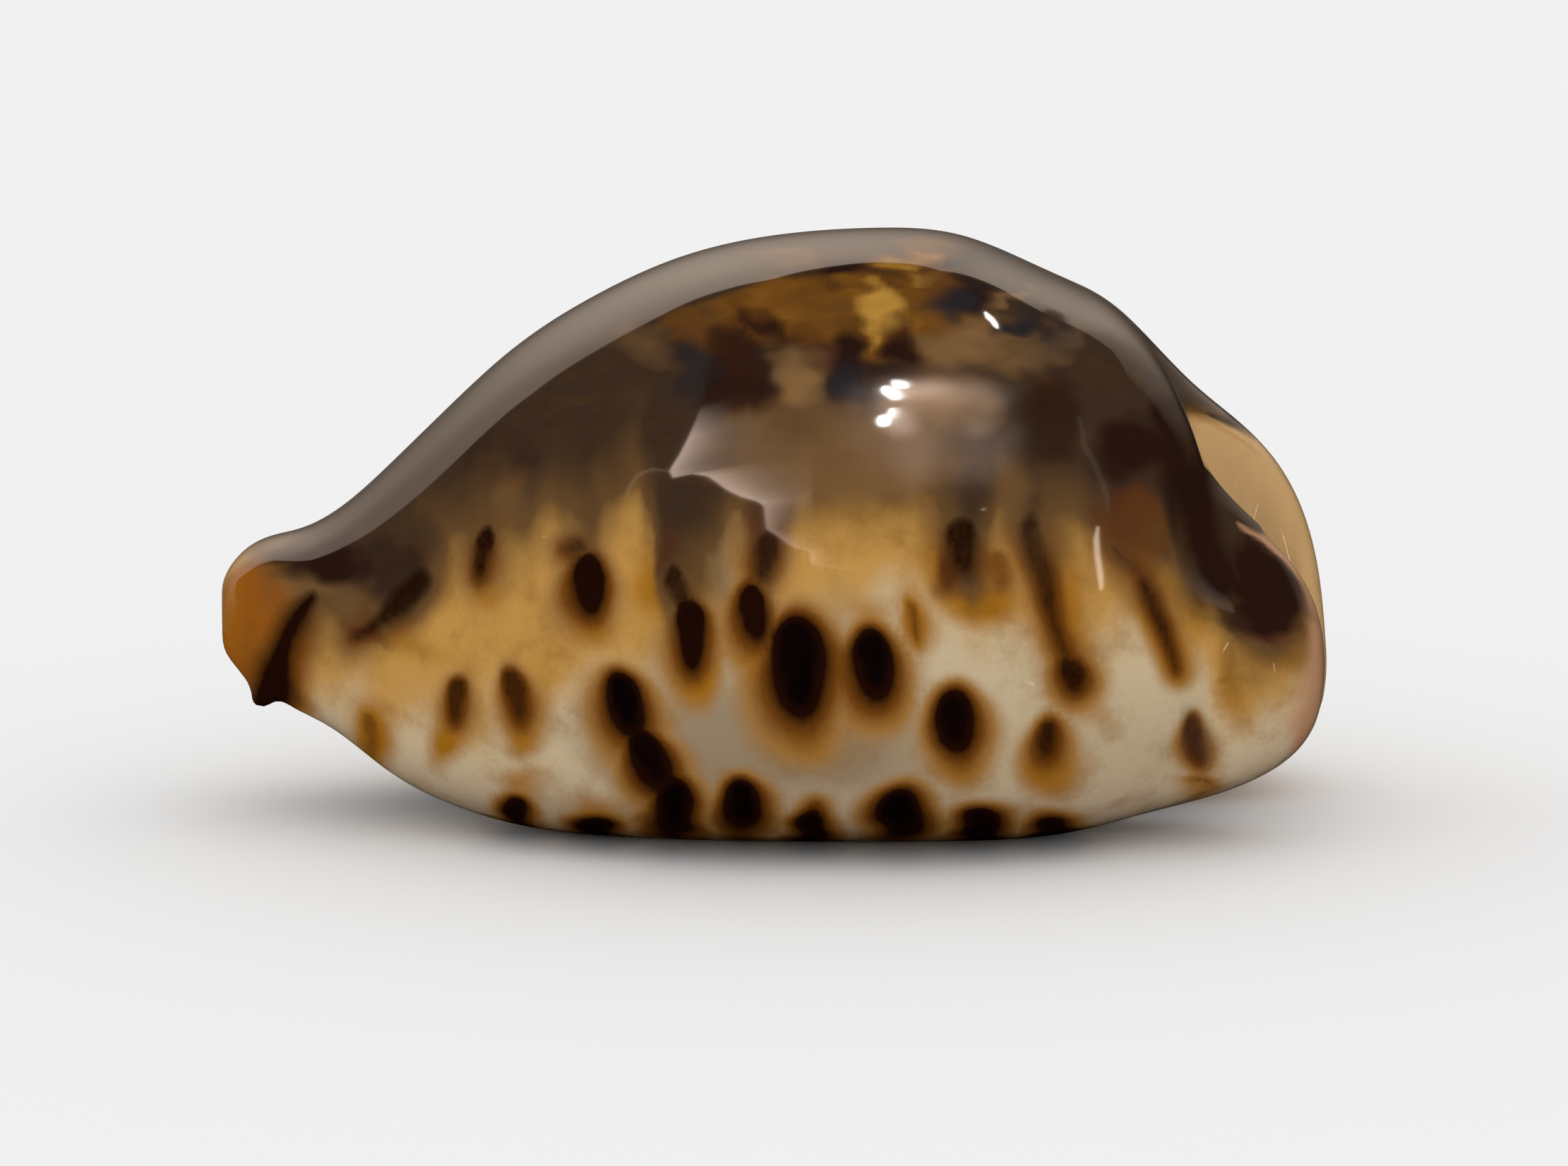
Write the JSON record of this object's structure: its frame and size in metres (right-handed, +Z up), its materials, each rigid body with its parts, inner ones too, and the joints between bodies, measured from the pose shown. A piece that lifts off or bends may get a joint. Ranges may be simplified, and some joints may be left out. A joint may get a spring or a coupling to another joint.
{
  "type": "cowry shell",
  "caption": "Glossy humped cowry shell with a toothed slit along its underside, a short snout and a lobed back end.",
  "frame": {"origin": "centre of the bounding box's footprint, at the level the shell rests on", "axes": "+X towards the back end with the two lobes, +Y towards the outer (labral) lip's side, +Z up through the hump"},
  "size_m": [0.0627, 0.0413, 0.0327],
  "materials": {
    "glossy_shell": "glossy, naturally glazed"
  },
  "bodies": {
    "root": {"shell": "glossy_shell"}
  },
  "joints": []
}
